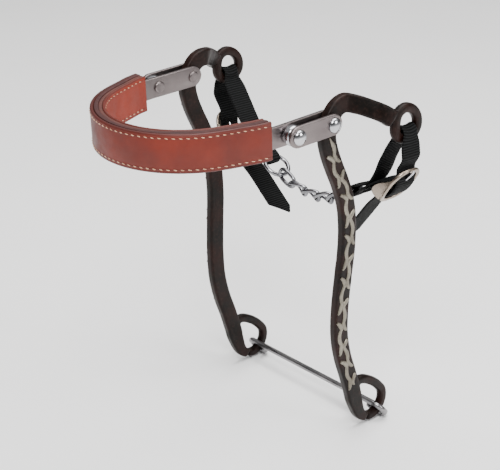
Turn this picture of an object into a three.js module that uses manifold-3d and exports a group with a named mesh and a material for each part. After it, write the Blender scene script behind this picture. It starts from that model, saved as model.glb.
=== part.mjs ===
// Bitless hackamore: a leather-covered noseband on a steel strip, two pivoting shanks with a scroll
// inlay, a lower crossbar, and a curb of two buckled webbing straps joined by a twisted chain.
// Millimetres. The origin is midway between the shank pivots, +X to the right shank, -Y to the front
// of the nose and +Z up. Shapes are made for the right side and mirrored in the plane x = 0.
import * as THREE from 'three';
import { mergeVertices } from 'three/addons/utils/BufferGeometryUtils.js';
import Module from 'manifold-3d';

const wasm = await Module();
wasm.setup();

// ---- Driving dimensions ----
const halfSpread = 66;            // middle plane of each shank from x = 0
const fitGap = 0.3;               // gap left between pieces that touch
const barWidth = 11.8;            // shank bar, seen from the side
const barThickness = 6;
const plateThickness = 2.5;       // outer link plates and noseband strip
const plateHeight = 13.4;
const frontRivetY = -28.2;        // rivet that fixes the outer plate to the strip
const rivetRadius = 2.6;
const boreRadius = rivetRadius + fitGap;
const noseTilt = Math.atan(0.046); // the noseband droops a little towards the front
const noseCentreY = -51;          // centre of the round front of the noseband
const noseRadius = 56.2;          // of the strip's middle line
const noseSplay = THREE.MathUtils.degToRad(19); // its sides open this much towards the rear
const leatherHeight = 24;
const leatherEndY = -42.5;
const armJog = 17.5;              // how far the arm bends outwards before the headstall ring
const toeIn = 5.5;                // how far the rein ring lies inside the pivot
const ringWidth = 6.2;            // bar of both rings
const reinArcY = 50.3;            // centre of the round rear of the rein ring
const reinArcZ = -208;
const reinArcRadius = 11.6;
const crossbarRadius = 2;
const crossbarAngle = THREE.MathUtils.degToRad(-49);
const eyeRadius = 6.3;            // centre line of the crossbar's eyes
const strapWidth = 16;
const strapThickness = 1.8;
const strapY = 49;                // the curb hangs in the plane y = strapY
const ringBottomZ = -15.6;        // middle of the headstall ring's lower bar
const linkWireRadius = 1.2;
const linkHalfLength = 7.5;       // centre line of a chain link
const linkHalfWidth = 4.1;
const linkCount = 5;
const chainSlope = 1;             // degrees, at the middle of the chain, rising to the left
const chainBend = 10.8;           // degrees between neighbouring links
const curbRingRadius = 8.5;
const curbRingWire = 1.4;
const ringSlope = 34;             // degrees, of both curb rings

const innerPlateX = halfSpread - barThickness / 2 - fitGap - plateThickness / 2;
const outerPlateX = halfSpread + barThickness / 2 + fitGap + plateThickness / 2;
const reinRingX = halfSpread - toeIn;
const headRingX = halfSpread + armJog;

// ---- Materials ----
const finish = (color, roughness, metalness) =>
  new THREE.MeshStandardMaterial({ color, roughness, metalness });
const antiqueSteel = () => finish(0x2d201c, 0.45, 0.7);
const satinSteel = () => finish(0x9a938f, 0.4, 0.9);
const chrome = () => finish(0xc8c8cc, 0.15, 1);
const silver = () => finish(0xb5b2a8, 0.35, 0.9);
const russetLeather = () => finish(0xa3452a, 0.5, 0);
const darkLeather = () => finish(0x7c3324, 0.6, 0);
const felt = () => finish(0x6b4a36, 0.95, 0);
const blackWebbing = () => finish(0x101214, 0.85, 0);

// ---- Geometry helpers ----
const vec = (x, y, z) => new THREE.Vector3(x, y, z);
const axisX = vec(1, 0, 0);
const axisY = vec(0, 1, 0);
const axisZ = vec(0, 0, 1);

function signedVolume(positions, index) {
  let volume = 0;
  const corner = (i) => vec(positions[3 * i], positions[3 * i + 1], positions[3 * i + 2]);
  for (let i = 0; i < index.length; i += 3) {
    volume += corner(index[i]).dot(corner(index[i + 1]).cross(corner(index[i + 2]))) / 6;
  }
  return volume;
}

function meshFrom(positions, index) {
  const geometry = new THREE.BufferGeometry();
  const ordered = signedVolume(positions, index) < 0 ? [...index].reverse() : index;
  geometry.setAttribute('position', new THREE.Float32BufferAttribute(positions, 3));
  geometry.setIndex(ordered);
  return geometry;
}

// A closed body through a row of equal polygons; closed joins the last one to the first.
function loft(polygons, closed = false) {
  const sides = polygons[0].length;
  const positions = polygons.flat().flatMap((point) => [point.x, point.y, point.z]);
  const index = [];
  const spans = closed ? polygons.length : polygons.length - 1;
  for (let i = 0; i < spans; i++) {
    const here = i * sides;
    const next = ((i + 1) % polygons.length) * sides;
    for (let j = 0; j < sides; j++) {
      const k = (j + 1) % sides;
      index.push(here + j, next + j, next + k, here + j, next + k, here + k);
    }
  }
  const last = (polygons.length - 1) * sides;
  for (let j = 1; j < sides - 1 && !closed; j++) {
    index.push(0, j, j + 1, last, last + j + 1, last + j);
  }
  return meshFrom(positions, index);
}

// Carries a section along a row of points. The section's first axis lies across the path and its
// second axis keeps as close as it can to the direction side.
function sweep(points, side, sectionAt, closed = false) {
  const count = points.length;
  const polygons = points.map((point, i) => {
    const before = closed ? points[(i + count - 1) % count] : points[Math.max(i - 1, 0)];
    const after = closed ? points[(i + 1) % count] : points[Math.min(i + 1, count - 1)];
    const along = after.clone().sub(before).normalize();
    const across = along.clone().cross(side).normalize();
    const up = across.clone().cross(along);
    return sectionAt(i / (count - 1)).map(([u, v]) =>
      point.clone().addScaledVector(across, u).addScaledVector(up, v));
  });
  return loft(polygons, closed);
}

function chamferedSection(width, thickness, chamfer) {
  const u = width / 2;
  const v = thickness / 2;
  return [[u, v - chamfer], [u - chamfer, v], [chamfer - u, v], [-u, v - chamfer],
    [-u, chamfer - v], [chamfer - u, -v], [u - chamfer, -v], [u, chamfer - v]];
}

const boxSection = (width, thickness) => [[1, 1], [-1, 1], [-1, -1], [1, -1]]
  .map(([u, v]) => [u * width / 2, v * thickness / 2]);

const roundSection = (radius, sides = 8) => Array.from({ length: sides }, (_, i) => {
  const angle = (i + 0.5) * 2 * Math.PI / sides;
  return [radius * Math.cos(angle), radius * Math.sin(angle)];
});

const smoothPoints = (points, count, closed = false) => {
  const spaced = new THREE.CatmullRomCurve3(points, closed).getSpacedPoints(count);
  return closed ? spaced.slice(0, count) : spaced;
};

// The same surface with its shared corners merged and nothing but positions left.
function welded(geometry) {
  const plain = new THREE.BufferGeometry();
  plain.setAttribute('position', geometry.getAttribute('position').clone());
  if (geometry.index) plain.setIndex(geometry.index.clone());
  return mergeVertices(plain, 1e-4);
}

function toSolid(geometry) {
  const merged = welded(geometry);
  return new wasm.Manifold(new wasm.Mesh({
    numProp: 3,
    vertProperties: new Float32Array(merged.getAttribute('position').array),
    triVerts: new Uint32Array(merged.index.array),
  }));
}

function fromSolid(solid) {
  const mesh = solid.getMesh();
  return meshFrom([...mesh.vertProperties], [...mesh.triVerts]);
}

const join = (...parts) => fromSolid(parts.map(toSolid).reduce((sum, part) => sum.add(part)));
const cut = (body, ...tools) =>
  fromSolid(tools.map(toSolid).reduce((rest, tool) => rest.subtract(tool), toSolid(body)));

function mirrored(geometry) {
  const copy = welded(geometry).scale(-1, 1, 1);
  return meshFrom([...copy.getAttribute('position').array], [...copy.index.array]);
}

// A disc or rod along X.
function rodX(radius, length, x, y, z, segments = 24) {
  return new THREE.CylinderGeometry(radius, radius, length, segments)
    .rotateZ(Math.PI / 2).translate(x, y, z);
}

// ---- Assembly ----
const hackamore = new THREE.Group();
const noseband = new THREE.Group();
noseband.rotation.x = noseTilt;
hackamore.add(noseband);

function addPiece(parent, name, geometry, material) {
  const piece = new THREE.Mesh(welded(geometry), material);
  piece.geometry.computeVertexNormals();
  piece.name = name;
  parent.add(piece);
}

function addPair(parent, name, geometry, material) {
  addPiece(parent, `${name}_right`, geometry.clone(), material());
  addPiece(parent, `${name}_left`, mirrored(geometry), material());
}

// ---- Noseband, in its own tilted frame ----
// Middle line of the steel strip: straight beside the shanks, bent where it enters the leather, then
// two splayed sides and one round bow over the nose.
const bowPoint = (angle) => [noseRadius * Math.cos(angle), noseCentreY + noseRadius * Math.sin(angle)];
const [sideEndX, sideEndY] = bowPoint(-noseSplay);
const onSide = (y) => [sideEndX + (y - sideEndY) * Math.tan(noseSplay), y];
const noseSide = [[innerPlateX, 0], [innerPlateX, -18], [innerPlateX, -38],
  onSide(-49.5), onSide(-60)];
const noseBow = Array.from({ length: 13 }, (_, i) =>
  bowPoint(-noseSplay - (Math.PI - 2 * noseSplay) * i / 12));
const otherSide = noseSide.map(([x, y]) => [-x, y]).reverse();
const noseLine = new THREE.CatmullRomCurve3(
  [...noseSide, ...noseBow, ...otherSide].map(([x, y]) => vec(x, y, 0)), false, 'centripetal');
noseLine.arcLengthDivisions = 800;

// Points along the noseband, offset outwards from the strip's middle line and ending at endY.
function nosePath(offset, endY, steps) {
  let start = 0;
  while (noseLine.getPointAt(start).y > endY) start += 0.001;
  return Array.from({ length: steps + 1 }, (_, i) => {
    const place = THREE.MathUtils.lerp(start, 1 - start, i / steps);
    const along = noseLine.getTangentAt(place);
    return noseLine.getPointAt(place).add(vec(-along.y * offset, along.x * offset, 0));
  });
}

function noseLayer(offset, thickness, height, endY, lift = 0, chamfer = 0.5) {
  const path = nosePath(offset, endY, 30).map((point) => point.setZ(lift));
  return sweep(path, axisZ, () => chamferedSection(thickness, height, chamfer));
}

function nosebandStrip() {
  const band = sweep(nosePath(0, 0, 44), axisZ, () => boxSection(plateThickness, plateHeight));
  const ends = [-1, 1].map((side) =>
    rodX(plateHeight / 2, plateThickness, side * innerPlateX, 0, 0, 32));
  const bores = [-1, 1].flatMap((side) => [0, frontRivetY].map((y) =>
    rodX(boreRadius, 3 * plateThickness, side * innerPlateX, y, 0)));
  return cut(join(band, ...ends), ...bores);
}

function outerPlate() {
  const outline = new THREE.Shape();
  const radius = plateHeight / 2;
  outline.absarc(0, 0, radius, -Math.PI / 2, Math.PI / 2);
  outline.absarc(frontRivetY, 0, radius, Math.PI / 2, 1.5 * Math.PI);
  for (const y of [0, frontRivetY]) {
    outline.holes.push(new THREE.Path().absarc(y, 0, boreRadius, 0, 2 * Math.PI, true));
  }
  const plate = new THREE.ExtrudeGeometry(outline, {
    depth: plateThickness,
    bevelEnabled: false,
    curveSegments: 14,
  });
  plate.applyMatrix4(new THREE.Matrix4().makeBasis(axisY, axisZ, axisX));
  return plate.translate(outerPlateX - plateThickness / 2, 0, 0);
}

// A rivet along X: a domed head outside the outer plate and a low peened end inside the strip.
function rivet(y) {
  const headBase = outerPlateX + plateThickness / 2 + fitGap;
  const tailBase = innerPlateX - plateThickness / 2 - fitGap;
  const headRadius = 4.7;
  const headHeight = 2.7;
  const tailRadius = 3.7;
  const tailHeight = 1.1;
  const profile = [[0, tailBase - tailHeight], [tailRadius - 0.9, tailBase - tailHeight],
    [tailRadius, tailBase - 0.4], [tailRadius, tailBase], [rivetRadius, tailBase],
    [rivetRadius, headBase], [headRadius, headBase]];
  for (const fraction of [0.25, 0.5, 0.75, 0.9]) {
    const angle = fraction * Math.PI / 2;
    profile.push([headRadius * Math.cos(angle), headBase + headHeight * Math.sin(angle)]);
  }
  profile.push([0, headBase + headHeight]);
  const points = profile.map(([radius, x]) => new THREE.Vector2(radius, x));
  return new THREE.LatheGeometry(points, 20).rotateZ(-Math.PI / 2).translate(0, y, 0);
}

function spacerBush() {
  const half = barThickness / 2;
  const outer = 5.4;
  const profile = [[boreRadius, -half], [outer, -half], [outer, half], [boreRadius, half],
    [boreRadius, -half]];
  const points = profile.map(([radius, x]) => new THREE.Vector2(radius, x));
  return new THREE.LatheGeometry(points, 20).rotateZ(-Math.PI / 2).translate(halfSpread, frontRivetY, 0);
}

const coverThickness = 2.3;
const padThickness = 2;
const liningThickness = 1.8;
const coverOffset = (plateThickness + coverThickness) / 2 + fitGap;
const padOffset = -(plateThickness + padThickness) / 2 - fitGap;
const liningOffset = padOffset - (padThickness + liningThickness) / 2 - fitGap;
const weltHeight = 5;
const weltLift = plateHeight / 2 + fitGap + weltHeight / 2;

addPiece(noseband, 'noseband_strip', nosebandStrip(), satinSteel());
const cover = noseLayer(coverOffset, coverThickness, leatherHeight, leatherEndY);
addPiece(noseband, 'leather_cover', cover, russetLeather());
const lining = noseLayer(liningOffset, liningThickness, leatherHeight - 0.6, leatherEndY);
addPiece(noseband, 'leather_lining', lining, darkLeather());
const padding = noseLayer(padOffset, padThickness, leatherHeight - 1.4, leatherEndY - 1);
addPiece(noseband, 'nose_padding', padding, felt());
for (const [name, side] of [['top_welt', 1], ['bottom_welt', -1]]) {
  const welt = noseLayer(0, plateThickness, weltHeight, leatherEndY - 0.5, side * weltLift);
  addPiece(noseband, name, welt, darkLeather());
}
addPair(noseband, 'outer_plate', outerPlate(), satinSteel);
addPair(noseband, 'spacer_bush', spacerBush(), satinSteel);
addPair(noseband, 'front_rivet', rivet(frontRivetY), chrome);
addPair(noseband, 'pivot_rivet', rivet(0), chrome);

// ---- Shanks ----
const between = (value, from, to) => Math.min(Math.max((value - from) / (to - from), 0), 1);

// Sideways place of the bar's middle plane: the arm is kinked outwards, the lower bar toes in.
function shankX(y, z) {
  const jog = armJog * between(y, 14.5, 36.5) * (z > -30 ? 1 : 0);
  return halfSpread + jog - toeIn * THREE.MathUtils.smoothstep(-z, 15, 185);
}

const onShank = (points) => points.map(([y, z]) => vec(0, y, z));
const placeOnShank = (points) => points.map((point) => point.setX(shankX(point.y, point.z)));

// Middle line of the bar from the headstall ring over the pivot and down to the rein ring.
const armLine = onShank([[37, -1.5], [32.5, 2.2], [26, 5.6], [19, 8.6], [12.5, 9.9], [6.8, 8.1],
  [2.6, 3.6], [0.3, -2.6], [-0.8, -9], [1.3, -18], [5.2, -27.5], [11.5, -40.5]]);
const stemLine = onShank([[11.5, -40.5], [17.2, -55.5], [19.8, -70], [20.6, -87], [19.4, -107],
  [18.3, -130], [19.2, -149], [23, -165.5], [28.3, -180], [32.6, -193], [36.2, -205],
  [40.5, -214.5], [46, -219]]);

const headRingLine = onShank([[39.4, -6], [41, 0.6], [45.8, 3.6], [51.4, 2.9], [56.2, -0.6],
  [58.7, -5.6], [58.2, -10.8], [54.4, -14.6], [48.8, ringBottomZ], [43.4, -14.6], [40.1, -11.2]]);

const reinRingTop = onShank([[33, -192.5], [37.4, -189.4], [42, -189.3], [47.7, -191.8],
  [53.8, -195.8], [58.8, -200.6]]);
const reinRingArc = Array.from({ length: 8 }, (_, i) => {
  const angle = THREE.MathUtils.degToRad(22 - 18 * i);
  return vec(0, reinArcY + reinArcRadius * Math.cos(angle), reinArcZ + reinArcRadius * Math.sin(angle));
});
const reinRingLine = [...reinRingTop, ...reinRingArc];

function shank() {
  const chamfer = 1.2;
  const bar = (width) => chamferedSection(width, barThickness, chamfer);
  const swell = (t) => bar(barWidth - 0.8 * (1 - t));
  const arm = sweep(placeOnShank(smoothPoints(armLine, 24)), axisX, swell);
  const taper = (t) => bar(barWidth - (barWidth - ringWidth) * between(t, 0.86, 1));
  const stem = sweep(placeOnShank(smoothPoints(stemLine, 24)), axisX, taper);
  const ringSection = () => chamferedSection(ringWidth, barThickness - 0.4, 1.7);
  const headRing = sweep(placeOnShank(smoothPoints(headRingLine, 22, true)), axisX, ringSection, true);
  const reinRing = sweep(placeOnShank(smoothPoints(reinRingLine, 24)), axisX, ringSection);
  const bore = rodX(boreRadius, 4 * barThickness, halfSpread, 0, 0);
  return cut(join(arm, stem, headRing, reinRing), bore);
}

addPair(hackamore, 'shank', shank(), antiqueSteel);

// ---- Scroll inlay on the outer face of each shank ----
const inlayThickness = 0.7;
const scrollBends = 12;
const waveLength = 30.5;
const scrollSwing = 2.35;         // how far the stem of the scroll weaves to either side
const scrollShift = -0.4;         // the whole scroll lies a little towards the front of the bar
const scrollStart = 5.9;          // below the pivot, along the bar
const stemCurve = new THREE.CatmullRomCurve3(
  smoothPoints([...armLine.slice(7), ...stemLine.slice(1, 11)], 80));

// A flat tapering ribbon through points [along, across], before the bar's bend is put in.
function ribbon(points, startHalf, endHalf, steps) {
  const line = new THREE.CatmullRomCurve3(points.map(([along, across]) => vec(0, across, along)));
  const halfWidth = (t) => THREE.MathUtils.lerp(startHalf, endHalf, t);
  return sweep(line.getSpacedPoints(steps), axisX, (t) => boxSection(2 * halfWidth(t), inlayThickness));
}

// Lays a straight flat body along the bar's outer face: z runs down the bar and y across it.
function laidOnShank(geometry) {
  const positions = geometry.getAttribute('position');
  const total = stemCurve.getLength();
  for (let i = 0; i < positions.count; i++) {
    const place = Math.min((scrollStart + positions.getZ(i)) / total, 1);
    const middle = stemCurve.getPointAt(place);
    const along = stemCurve.getTangentAt(place);
    const across = positions.getY(i) + scrollShift;
    const y = middle.y - along.z * across;
    const z = middle.z + along.y * across;
    const faceX = barThickness / 2 + fitGap + inlayThickness / 2;
    positions.setXYZ(i, shankX(y, z) + faceX + positions.getX(i), y, z);
  }
  return meshFrom([...positions.array], [...geometry.index.array]);
}

// A weaving stem. Each bend is a crescent that opens to the other side between two curled leaves,
// and the crescents that open to the rear are the longer ones. The last leaf ends the scroll.
function scrollInlay() {
  const stem = Array.from({ length: 4 * scrollBends + 1 }, (_, i) =>
    [waveLength * i / 8, scrollSwing * Math.sin(2 * Math.PI * i / 8)]);
  const pieces = [ribbon(stem, 0.95, 0.95, 7 * scrollBends)];
  for (let i = 0; i <= scrollBends; i++) {
    const bend = waveLength * (i / 2 + 0.25);
    const opening = i % 2 === 0 ? -1 : 1;
    const reach = i % 2 === 0 ? 2.7 : 3.7;
    const upperLeaf = [[-9.4, 1.6], [-7, 2], [-reach - 1.6, 3], [-reach - 0.6, 4.1]];
    const lowerLeaf = [[9, 0.5], [7, 0.7], [reach + 1.9, 1.9], [reach, 4.1]];
    const leaves = i === 0 ? [lowerLeaf] : i === scrollBends ? [upperLeaf] : [upperLeaf, lowerLeaf];
    for (const leaf of leaves) {
      const points = leaf.map(([along, across]) => [bend + along, opening * across]);
      pieces.push(ribbon(points, 1.05, 0.55, 4));
    }
  }
  return laidOnShank(join(...pieces));
}

addPair(hackamore, 'scroll_inlay', scrollInlay(), silver);

// ---- Crossbar, hooked round the lower rear of both rein rings ----
function crossbar() {
  const outwards = vec(0, Math.cos(crossbarAngle), Math.sin(crossbarAngle));
  const rimCentre = vec(0, reinArcY, reinArcZ).addScaledVector(outwards, reinArcRadius);
  const at = (x, out) => rimCentre.clone().addScaledVector(outwards, out).setX(x);
  const lastAngle = 195;
  const eye = Array.from({ length: 17 }, (_, i) => {
    const angle = THREE.MathUtils.degToRad(-90 + (lastAngle + 90) * i / 16);
    return at(reinRingX + eyeRadius * Math.cos(angle), eyeRadius * Math.sin(angle));
  });
  const rod = [10, 30, 50].map((x) => at(x, -eyeRadius));
  const half = [...rod, ...eye];
  const otherHalf = half.map((point) => vec(-point.x, point.y, point.z)).reverse();
  const sideways = outwards.clone().cross(axisX);
  return sweep([...otherHalf, ...half], sideways, () => roundSection(crossbarRadius));
}

addPiece(hackamore, 'crossbar', crossbar(), satinSteel());

// ---- Curb straps and buckles ----
// The place of a buckle's centre and the way its strap runs through it, up towards the ring. Both
// sides are drawn on the right; the left one hangs a little lower and straighter.
const buckleRight = {
  x: 77.5,
  z: -45.2,
  along: new THREE.Vector2(0.6, 0.8),
  innerLeg: [[74.5, -24], [69.8, -33], [66, -42], [60.5, -50]],
  backLeg: [66.2, -50.6],
};
const buckleLeft = {
  x: 74.8,
  z: -50.5,
  along: new THREE.Vector2(0.53, 0.85).normalize(),
  innerLeg: [[74.8, -21], [69, -29], [62.5, -38], [55.5, -47]],
  backLeg: [64.5, -54.5],
};
const centreBarLift = 1.4;
const centreBarRadius = 1.25;
const wrapRadius = centreBarRadius + 2 * fitGap + strapThickness / 2;
const hookRadius = curbRingWire + 2 * fitGap + strapThickness / 2;
const tabSlack = 2.1;             // from the middle of the chain-end fold to the ring's wire

// A point in a buckle's own frame: s runs up the strap and n outwards from it.
function onBuckle(buckle, s, n) {
  const { x, z, along } = buckle;
  return vec(x + s * along.x + n * along.y, strapY, z + s * along.y - n * along.x);
}

// Points of a fold of webbing round a bar, from one angle to another in degrees.
function foldRound(centre, radius, from, to, count) {
  return Array.from({ length: count }, (_, i) => {
    const angle = THREE.MathUtils.degToRad(from + (to - from) * i / (count - 1));
    return vec(centre.x + radius * Math.cos(angle), centre.y, centre.z + radius * Math.sin(angle));
  });
}

// The webbing from its tail through the buckle, over the headstall ring, down to the fold that holds
// the chain, and back to the buckle's centre bar.
function strapPath(buckle, tabEnd, tailTip) {
  const at = (x, z) => vec(x, strapY, z);
  const through = (s, n) => onBuckle(buckle, s, n);
  const tailBend = at(51, -76.5);
  const tail = [tailTip, tailTip.clone().lerp(tailBend, 0.5), tailBend, through(-25, -2.2)];
  const overBar = [[-18, -1.1], [-14, -0.6], [-9, 1.8], [-4, 5], [0, 5.95], [4, 5], [9, 1.8],
    [14, -0.6], [18, -1]];
  const ringSide = barThickness / 2 + strapThickness / 2 + 0.5;
  const fold = [[ringSide + 1, -27], [ringSide + 0.4, -21], [ringSide, -15.5], [ringSide - 0.7, -11],
    [0, -8.3], [0.7 - ringSide, -11], [-ringSide, -15.5]].map(([x, z]) => at(headRingX + x, z));
  const innerLeg = buckle.innerLeg.map(([x, z]) => at(x, z));
  const legEnd = innerLeg[3];
  const backAngle = THREE.MathUtils.radToDeg(Math.atan2(tabEnd.z - legEnd.z + 4, tabEnd.x - legEnd.x + 3.5));
  const chainFold = foldRound(tabEnd, hookRadius, backAngle - 80, backAngle + 80, 5);
  const half = tabEnd.clone().lerp(legEnd, 0.5);
  const upperTab = half.clone().add(vec(-0.3, 0, 1.2));
  const lowerTab = half.clone().add(vec(0.9, 0, -2));
  const bind = foldRound(through(0, centreBarLift), wrapRadius, 141, -75, 6);
  return [...tail, ...overBar.map(([s, n]) => through(s, n)), ...fold, ...innerLeg, upperTab, ...chainFold,
    lowerTab, at(...buckle.backLeg), ...bind, through(-6.5, 0)];
}

// The webbing is drawn in where it passes through the headstall ring and round the curb ring.
function curbStrap(buckle, tabEnd, tailTip) {
  const line = smoothPoints(strapPath(buckle, tabEnd, tailTip), 84);
  const inHeadRing = (point) => (point.x > 70 ? THREE.MathUtils.smoothstep(point.z, -21, -12.5) : 0);
  const inCurbRing = (point) => 1 - THREE.MathUtils.smoothstep(point.distanceTo(tabEnd), 4, 15);
  const polygons = line.map((point, i) => {
    const along = line[Math.min(i + 1, line.length - 1)].clone().sub(line[Math.max(i - 1, 0)]).normalize();
    const out = along.clone().cross(axisY).multiplyScalar(strapThickness / 2);
    const width = strapWidth - 5.4 * inHeadRing(point) - 6 * inCurbRing(point);
    const half = 0.5 * width * Math.min(1, 0.25 + i / 6);
    return [[1, 1], [-1, 1], [-1, -1], [1, -1]].map(([u, v]) =>
      vec(point.x + v * out.x, strapY + u * half, point.z + v * out.z));
  });
  return loft(polygons);
}

// A block with the given outline in the buckle's frame, between two places across the strap.
function buckleBlock(buckle, outline, yFrom, yTo) {
  const corners = outline.map(([s, n]) => onBuckle(buckle, s, n));
  return loft([yFrom, yTo].map((y) => corners.map((corner) => corner.clone().setY(strapY + y))));
}

function strapWithHoles(buckle, tabEnd, tailTip) {
  const tongueHole = buckleBlock(buckle, [[1, 1.8], [9.8, 1.8], [9.8, 9], [1, 9]], -1.7, 1.7);
  const tongueSlot = buckleBlock(buckle, [[-4, -2.8], [6, -2.8], [6, 4.8], [-4, 4.8]], -1.5, 1.5);
  const punched = rodX(1.7, 5, headRingX + 4.9, strapY - 0.6, -19.5, 10);
  return cut(curbStrap(buckle, tabEnd, tailTip), tongueHole, tongueSlot, punched);
}

// A bowed frame with a centre bar; its sides are deep at the lower end.
function buckleFrame(buckle) {
  const halfLength = 14.2;
  const halfWidth = 10.6;
  const round = (value) => Math.sign(value) * Math.abs(value) ** 0.7;
  const rim = Array.from({ length: 24 }, (_, i) => {
    const angle = 2 * Math.PI * i / 24;
    const s = halfLength * round(Math.cos(angle));
    const bow = 3.35 + 0.5 * (1 - (s / halfLength) ** 2);
    return onBuckle(buckle, s, bow).setY(strapY + halfWidth * round(Math.sin(angle)));
  });
  const outwards = onBuckle(buckle, 0, 1).sub(onBuckle(buckle, 0, 0));
  const frame = sweep(rim, outwards, () => chamferedSection(3, 2.2, 0.7), true);
  const sideOutline = [[-10.5, 3], [-12, -2.5], [-10.5, -4.4], [-5.5, -4.4], [3, 0.3], [8, 3]];
  const sides = [[9.9, 11.5], [-11.5, -9.9]].map(([from, to]) => buckleBlock(buckle, sideOutline, from, to));
  const bar = new THREE.CylinderGeometry(centreBarRadius, centreBarRadius, 2 * halfWidth, 10);
  const place = onBuckle(buckle, 0, centreBarLift);
  return join(frame, ...sides, bar.translate(place.x, place.y, place.z));
}

function buckleTongue(buckle) {
  const wire = 0.85;
  const eye = centreBarRadius + fitGap + wire;
  const turns = Array.from({ length: 11 }, (_, i) => THREE.MathUtils.degToRad(-215 + 30.5 * i));
  const loop = turns.map((angle) => [eye * Math.cos(angle), centreBarLift + eye * Math.sin(angle)]);
  const blade = [[3.4, 4.2], [7, 4.8], [11, 5.4], [14.8, 5.8], [16.8, 5.5]];
  const line = [...loop, ...blade].map(([s, n]) => onBuckle(buckle, s, n));
  return sweep(line, axisY, () => roundSection(wire, 6));
}

// ---- Curb chain ----
// Wire of one link: an oval lengthened along the chain, its plane turned by twist from end to end.
function chainLink(twist) {
  const steps = 22;
  const round = (value) => Math.sign(value) * Math.abs(value) ** 0.8;
  const points = Array.from({ length: steps }, (_, i) => {
    const angle = 2 * Math.PI * i / steps;
    const along = linkHalfLength * round(Math.cos(angle));
    const across = linkHalfWidth * round(Math.sin(angle));
    const turn = 0.5 * twist * (1 + along / linkHalfLength);
    return vec(along, across * Math.sin(turn), across * Math.cos(turn));
  });
  const section = roundSection(linkWireRadius, 6);
  const polygons = points.map((point, i) => {
    const along = points[(i + 1) % steps].clone().sub(points[(i + steps - 1) % steps]).normalize();
    const side = point.clone().cross(along).normalize();
    const across = along.clone().cross(side);
    return section.map(([u, v]) => point.clone().addScaledVector(across, u).addScaledVector(side, v));
  });
  return loft(polygons, true);
}

// A ring whose plane holds the Y axis and the given direction.
function curbRing(centre, direction) {
  const path = Array.from({ length: 20 }, (_, i) => {
    const angle = 2 * Math.PI * i / 20;
    return centre.clone().addScaledVector(direction, curbRingRadius * Math.cos(angle))
      .addScaledVector(axisY, curbRingRadius * Math.sin(angle));
  });
  return sweep(path, direction.clone().cross(axisY), () => roundSection(curbRingWire), true);
}

const leftwards = (degrees) => vec(-Math.cos(degrees * Math.PI / 180), 0, Math.sin(degrees * Math.PI / 180));
const linkHook = 2 * linkWireRadius + fitGap;
const ringHook = linkWireRadius + curbRingWire + fitGap;
const openHook = ringHook + 0.8;  // slack at the last link, where the loop of the curb is left open

const tabEndRight = vec(42.8, strapY, -61.8);
const rightRingCentre = tabEndRight.clone().addScaledVector(leftwards(-ringSlope), curbRingRadius - tabSlack);
addPiece(hackamore, 'curb_ring_right', curbRing(rightRingCentre, leftwards(-ringSlope)), chrome());

const linkSlope = (i) => chainSlope + chainBend * (i - (linkCount - 1) / 2);
let reach = rightRingCentre.clone().addScaledVector(leftwards(-ringSlope), curbRingRadius);
for (let i = 0; i < linkCount; i++) {
  const direction = leftwards(linkSlope(i));
  const centre = reach.clone().addScaledVector(direction, linkHalfLength - (i === 0 ? ringHook : linkHook));
  const link = chainLink(i === linkCount - 1 ? 0 : Math.PI / 2);
  link.applyMatrix4(new THREE.Matrix4().makeBasis(direction, axisY, direction.clone().cross(axisY)));
  addPiece(hackamore, `chain_link_${i + 1}`, link.translate(centre.x, centre.y, centre.z), chrome());
  reach = centre.addScaledVector(direction, linkHalfLength);
}
const leftRingCentre = reach.addScaledVector(leftwards(linkSlope(linkCount - 1)), -openHook)
  .addScaledVector(leftwards(ringSlope), curbRingRadius);
addPiece(hackamore, 'curb_ring_left', curbRing(leftRingCentre, leftwards(ringSlope)), chrome());
const tabEndLeft = leftRingCentre.clone().addScaledVector(leftwards(ringSlope), curbRingRadius - tabSlack);
tabEndLeft.x = -tabEndLeft.x;

for (const [side, buckle, tabEnd, tailTip] of [
  ['right', buckleRight, tabEndRight, vec(37, strapY, -94.5)],
  ['left', buckleLeft, tabEndLeft, vec(24, strapY, -98.5)],
]) {
  const place = (geometry) => (side === 'left' ? mirrored(geometry) : geometry);
  addPiece(hackamore, `curb_strap_${side}`, place(strapWithHoles(buckle, tabEnd, tailTip)), blackWebbing());
  addPiece(hackamore, `buckle_frame_${side}`, place(buckleFrame(buckle)), chrome());
  addPiece(hackamore, `buckle_tongue_${side}`, place(buckleTongue(buckle)), chrome());
}

export default hackamore;
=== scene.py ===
"""Looks of the bitless hackamore. Shapes are written in millimetres in the CAD frame and made in metres."""
import math

import bpy
import numpy as np
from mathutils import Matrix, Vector


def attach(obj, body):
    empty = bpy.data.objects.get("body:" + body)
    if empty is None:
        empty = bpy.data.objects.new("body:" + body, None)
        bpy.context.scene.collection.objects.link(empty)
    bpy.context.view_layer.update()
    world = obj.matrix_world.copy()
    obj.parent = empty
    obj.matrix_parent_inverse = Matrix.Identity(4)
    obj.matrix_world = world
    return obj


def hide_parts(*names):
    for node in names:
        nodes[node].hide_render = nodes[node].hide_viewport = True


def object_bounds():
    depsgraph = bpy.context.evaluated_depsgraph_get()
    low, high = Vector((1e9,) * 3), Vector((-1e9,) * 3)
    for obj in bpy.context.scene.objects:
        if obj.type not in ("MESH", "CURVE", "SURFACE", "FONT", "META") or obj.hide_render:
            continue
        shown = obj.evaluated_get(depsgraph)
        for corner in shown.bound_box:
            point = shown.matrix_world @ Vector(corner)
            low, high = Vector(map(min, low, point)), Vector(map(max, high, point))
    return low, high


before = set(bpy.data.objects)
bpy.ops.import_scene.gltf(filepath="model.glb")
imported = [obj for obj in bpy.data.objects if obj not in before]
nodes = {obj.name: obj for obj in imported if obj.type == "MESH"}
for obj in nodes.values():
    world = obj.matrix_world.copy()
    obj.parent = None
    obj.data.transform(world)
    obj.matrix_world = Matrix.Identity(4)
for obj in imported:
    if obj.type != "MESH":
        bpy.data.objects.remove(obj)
cad_low, cad_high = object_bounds()
MM = 0.001

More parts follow.
